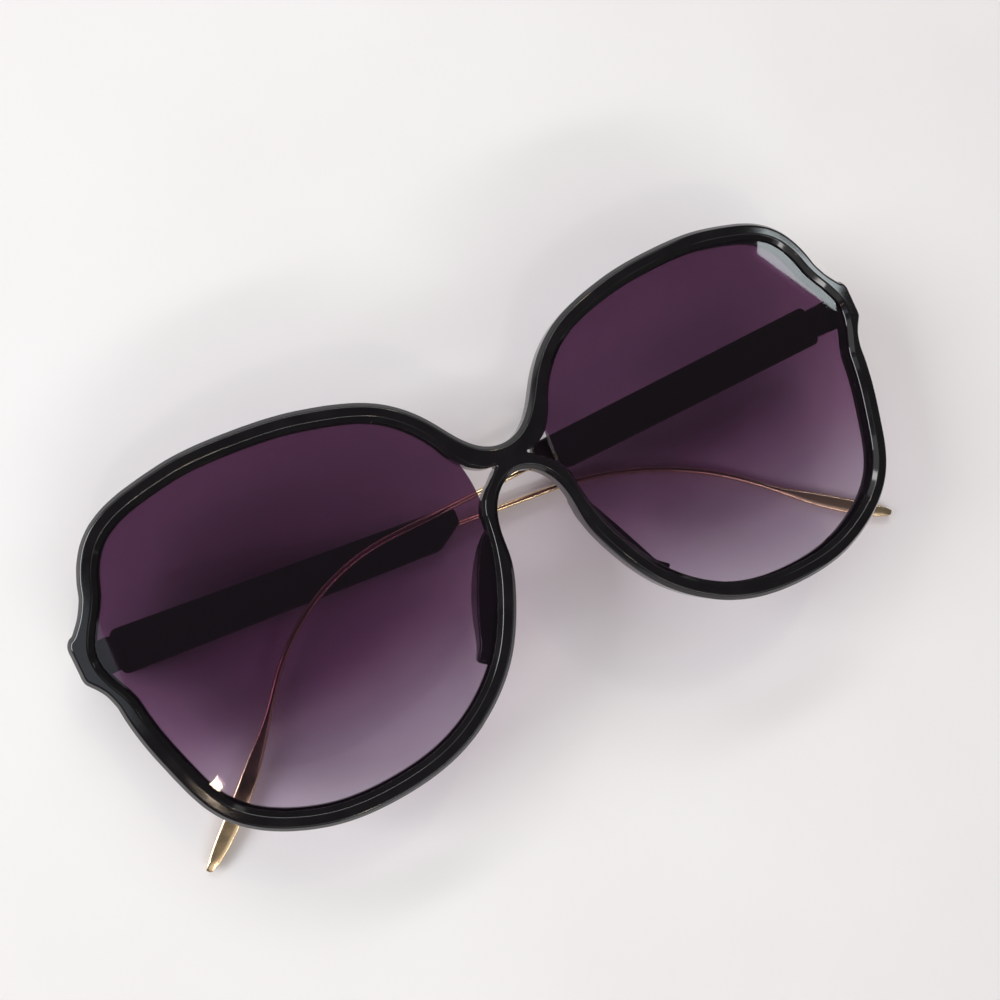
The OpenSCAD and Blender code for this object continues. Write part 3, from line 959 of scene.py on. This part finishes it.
def bandCorner(edge):
    ends = temple["ends"]
    along = (edge.verts[1].co - edge.verts[0].co).normalized()
    middle = (edge.verts[0].co + edge.verts[1].co) / 2
    through = abs(along.z) > ends["through"] and edge.calc_length() > ends["length"]
    return through and middle.x > ends["from"]


def makeTemple(side):
    place = templeFrame(side)
    band = carryOver(side + "_temple_band", side + "Band", place)
    bpy.ops.object.mode_set(mode="EDIT")
    print("band corners", roundOff(band, bandCorner, temple["endRound"], segments=4, sharperThan=20))
    print("band edges", roundOff(band, bandEdge, temple["bandRound"], segments=4, sharperThan=60))
    bpy.ops.object.mode_set(mode="OBJECT")
    putInPlace(band, place)
    smoothPiece(band)
    finishPiece(band, side + "_temple", side + "_temple_band", bandBlack)
    wire = carryOver(side + "_temple_wire", side + "Wire", place, flatness=0)
    bpy.ops.object.mode_set(mode="EDIT")
    bpy.ops.mesh.select_all(action="SELECT")
    quadAngle = math.radians(temple["wireQuads"])
    bpy.ops.mesh.tris_convert_to_quads(face_threshold=quadAngle, shape_threshold=quadAngle)
    refinePiece(wire)
    putInPlace(wire, place)
    smoothPiece(wire, angle=60, weighted=False)
    finishPiece(wire, side + "_temple", side + "_temple_wire", paleGold)


for side in signs:
    makeTemple(side)


# Pale floor

floorLook = {
    "size": 3.0,
    "below": 0.00002,
    "colour": (0.86, 0.84, 0.85),
    "other": (0.90, 0.885, 0.895),
    "cloudScale": 14,
    "roughness": 0.9,
    "specular": 0.1,
}

bpy.ops.object.select_all(action="DESELECT")
bpy.ops.mesh.primitive_plane_add(size=floorLook["size"], location=(0, 0, -floorLook["below"]))
floor = bpy.context.object
floor.name = "floor"
floorMaterial, tree = newMaterial("paleFloor")
cloud = noiseAt(tree, objectCoords(tree, -900, 0), -700, 0, floorLook["cloudScale"], 4)
tone = toneBetween(tree, cloud, -300, 0, *noiseSpan, floorLook["colour"], floorLook["other"])
shader = addShader(tree, 0, 0, {"Base Color": tone})
shader.inputs["Roughness"].default_value = floorLook["roughness"]
shader.inputs["Specular IOR Level"].default_value = floorLook["specular"]
putOut(tree, shader.outputs["BSDF"], 300, 0)
floor.data.materials.append(floorMaterial)
print("floor laid")


# Light

lamps = [
    {"name": "browPanel", "at": (0.0, 0.62, 0.75), "size": (1.5, 0.7),
     "glow": 0.95, "colour": (1, 0.99, 0.985)},
    {"name": "chinPanel", "at": (0.0, -0.62, 0.75), "size": (1.5, 0.7),
     "glow": 0.6, "colour": (1, 0.985, 0.97)},
    {"name": "browStrip", "at": (0.05, 0.75, 0.62), "size": (0.8, 0.08),
     "glow": 9.0, "colour": (1, 0.99, 0.98)},
    {"name": "chinStrip", "at": (-0.05, -0.72, 0.55), "size": (0.7, 0.07),
     "glow": 9.0, "colour": (1, 0.98, 0.96)},
    {"name": "leftPanel", "at": (-0.95, 0.35, 0.55), "size": (0.6, 0.5),
     "glow": 10.0, "colour": (0.96, 0.98, 1)},
    {"name": "veilPanel", "at": (-0.42, 0.04, 0.45), "size": (0.16, 0.1),
     "glow": 0.9, "colour": (0.8, 0.9, 1)},
    {"name": "window", "at": (0.558, 0.056, 0.45), "size": (0.1, 0.03), "roll": 43,
     "glow": 8.5, "colour": (0.88, 0.98, 1)},
    {"name": "warmSpotA", "at": (0.35, 0.55, 0.9), "size": (0.05, 0.05),
     "glow": 60.0, "colour": (1, 0.8, 0.55)},
    {"name": "warmSpotB", "at": (-0.35, -0.5, 0.85), "size": (0.05, 0.05),
     "glow": 60.0, "colour": (1, 0.85, 0.65)},
    {"name": "warmSpotC", "at": (-0.321, -0.093, 0.45), "size": (0.008, 0.011),
     "glow": 90.0, "colour": (1, 0.8, 0.6)},
]

for lamp in lamps:
    bpy.ops.object.light_add(type="AREA", location=lamp["at"])
    light = bpy.context.object
    light.name = lamp["name"]
    aim = (-Vector(lamp["at"])).to_track_quat("-Z", "Y").to_matrix()
    roll = Matrix.Rotation(math.radians(lamp.get("roll", 0)), 3, "Z")
    light.rotation_euler = (aim @ roll).to_euler()
    light.data.shape = "RECTANGLE"
    light.data.size, light.data.size_y = lamp["size"]
    light.data.energy = lamp["glow"] * math.pi * lamp["size"][0] * lamp["size"][1]
    light.data.color = lamp["colour"]

room = {"colour": (0.12, 0.12, 0.122), "strength": 1.0}

world = bpy.data.worlds.new("dimRoom")
bpy.context.scene.world = world
world.use_nodes = True
background = world.node_tree.nodes["Background"]
background.inputs["Color"].default_value = (*room["colour"], 1)
background.inputs["Strength"].default_value = room["strength"]
print("lights set")


# Camera, where the photograph was taken from

view = {
    "at": (-0.0514325, 0.0090191, 0.1732871),
    "turn": (6.0166, -15.6537, -26.327),
    "lens": 36,
    "sensor": 36,
    "nearest": 0.01,
}

bpy.ops.object.camera_add(location=view["at"], rotation=[math.radians(angle) for angle in view["turn"]])
camera = bpy.context.object
camera.data.lens = view["lens"]
camera.data.sensor_width = view["sensor"]
camera.data.clip_start = view["nearest"]
bpy.context.scene.camera = camera
bpy.context.scene.view_settings.view_transform = "Standard"
print("camera set")

bpy.context.view_layer.update()
